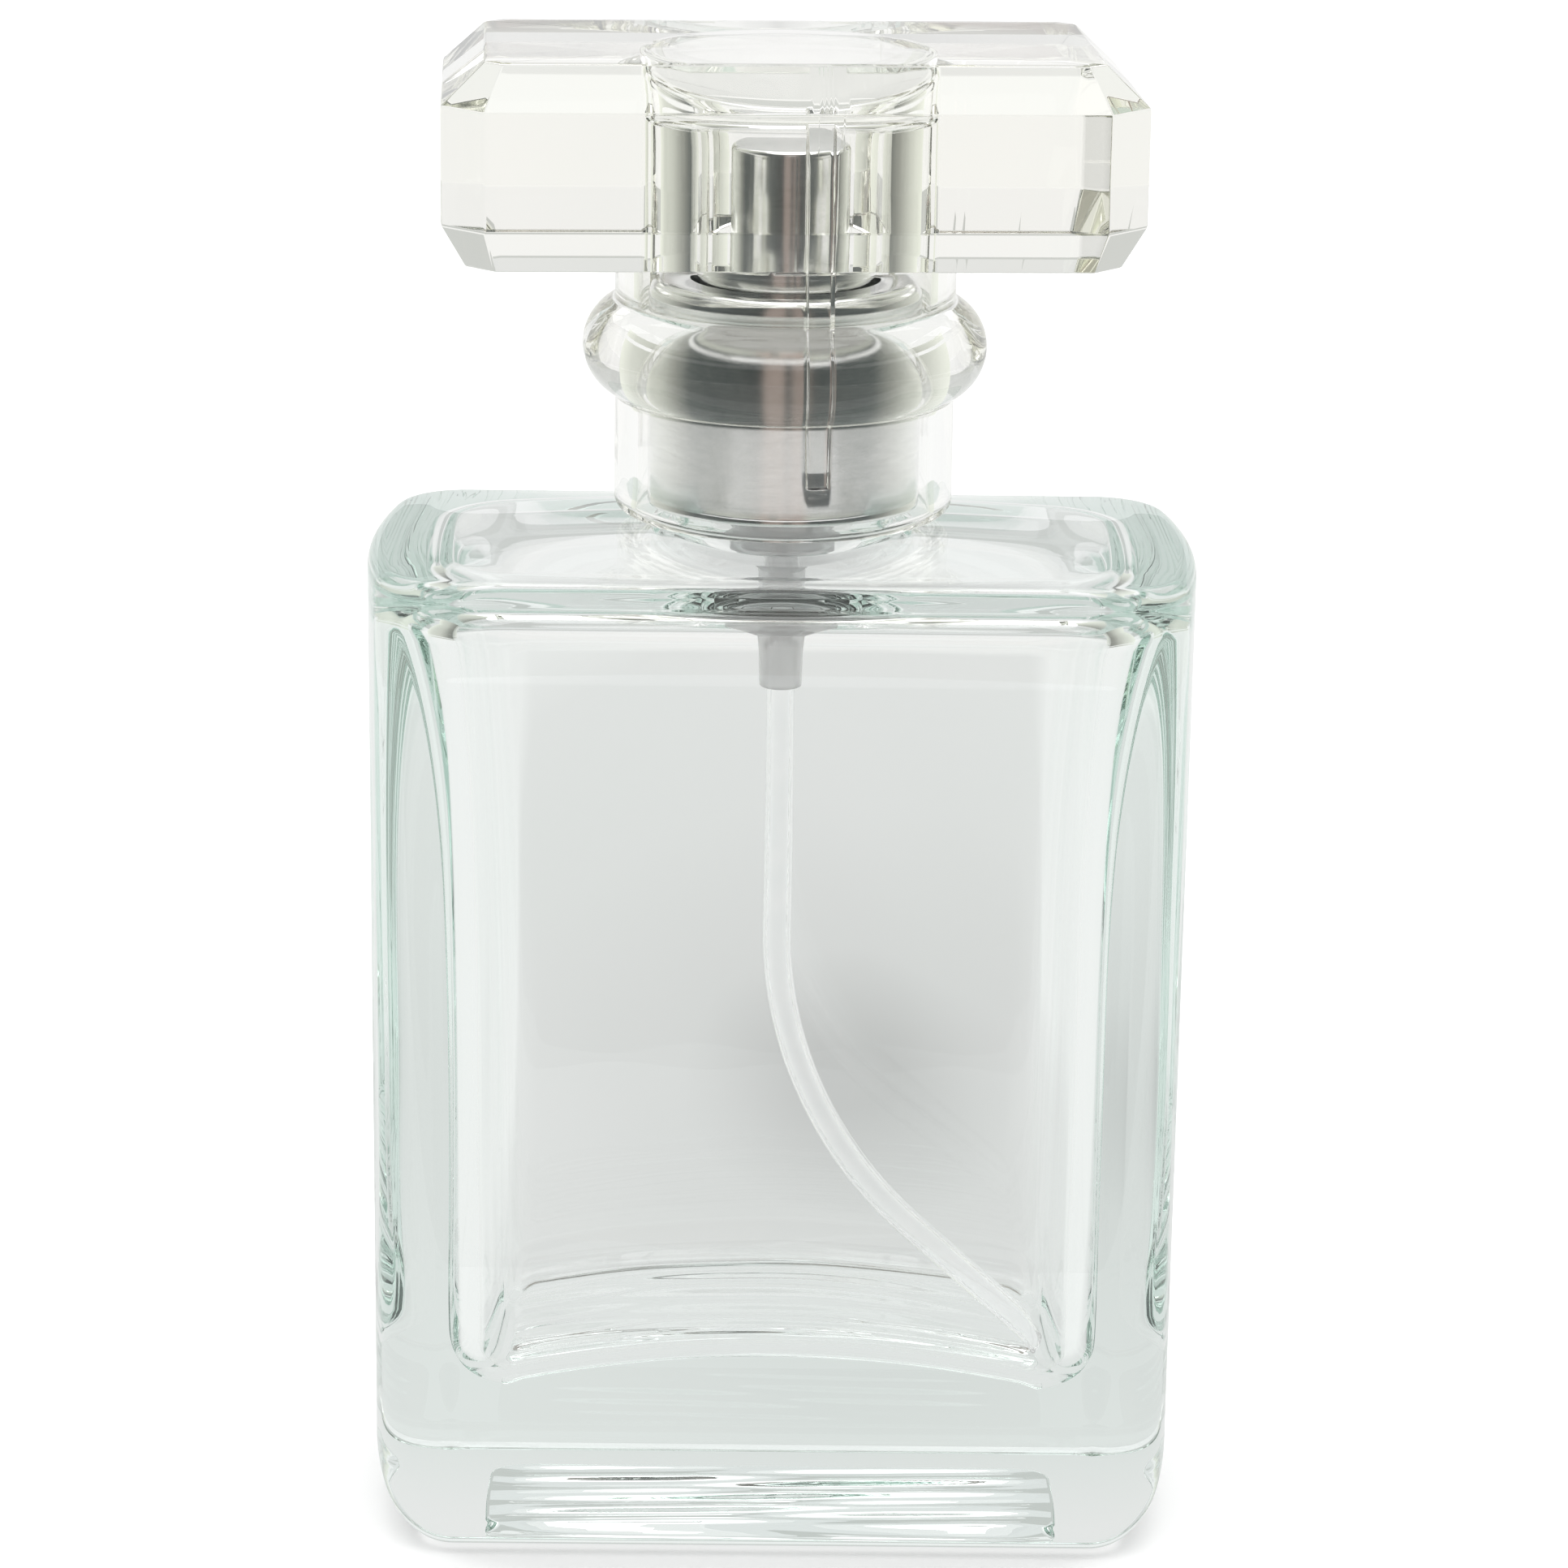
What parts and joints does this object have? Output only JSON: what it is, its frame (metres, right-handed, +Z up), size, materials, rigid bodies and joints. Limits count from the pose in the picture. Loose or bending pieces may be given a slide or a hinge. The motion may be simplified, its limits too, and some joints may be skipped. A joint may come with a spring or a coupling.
{
  "type": "aftershave spray bottle",
  "caption": "Flat clear glass spray bottle with a crimped mist pump, a bright metal collar and a clear bevelled bar-shaped cap that lifts off.",
  "frame": {"origin": "centre of the bottle's base, on the surface it stands on", "axes": "+Z up along the pump's axis, X along the bottle's width, -Y towards the front"},
  "size_m": [0.0538, 0.0272, 0.0988],
  "materials": {
    "flint_glass": "clear, polished, faint green in the thick edges",
    "clear_acrylic": "clear, polished, faint straw tint",
    "bright_aluminium": "drawn, bright anodised silver",
    "ferrule_aluminium": "plain drawn aluminium",
    "natural_plastic": "natural translucent polypropylene",
    "white_plastic": "moulded white",
    "tube_plastic": "natural translucent polyethylene",
    "seal_rubber": "moulded nitrile",
    "gasket_foam": "white cross-linked polyethylene",
    "spring_steel": "bright stainless wire",
    "ball_steel": "polished stainless"
  },
  "bodies": {
    "root": {"glass_bottle": "flint_glass", "neck_gasket": "gasket_foam", "crimp_ferrule": "ferrule_aluminium", "collar_cover": "bright_aluminium", "pump_housing": "natural_plastic", "closure_cup": "white_plastic", "stem_seal": "seal_rubber", "return_spring": "spring_steel", "dip_tube": "tube_plastic"},
    "cap": {"cap_shell": "clear_acrylic"},
    "plunger": {"pump_stem": "white_plastic", "valve_rod": "white_plastic", "priming_spring": "spring_steel"},
    "piston": {"piston": "white_plastic"},
    "ball": {"inlet_ball": "ball_steel"},
    "actuator": {"actuator_body": "white_plastic", "actuator_cover": "bright_aluminium", "nozzle_insert": "white_plastic"}
  },
  "joints": [
    {"name": "cap_lift", "type": "slide", "parent": "root", "child": "cap", "axis": [0, 0, 1], "range_m": [0, 0.03]},
    {"name": "spray_press", "type": "slide", "parent": "root", "child": "plunger", "axis": [0, 0, -1], "range_m": [0, 0.004], "stiffness_N_per_m": 1200, "springref_m": -0.0035, "deforming": ["return_spring"]},
    {"name": "piston_valve", "type": "slide", "parent": "plunger", "child": "piston", "axis": [0, 0, 1], "range_m": [0, 0.0004], "stiffness_N_per_m": 2500, "springref_m": -0.0006, "deforming": ["priming_spring"]},
    {"name": "ball_lift", "type": "slide", "parent": "root", "child": "ball", "axis": [0, 0, 1], "range_m": [0, 0.0007]},
    {"name": "actuator_turn", "type": "hinge", "parent": "plunger", "child": "actuator", "pos_m": [0, 0, 0.0873], "axis": [0, 0, 1], "continuous": true}
  ]
}
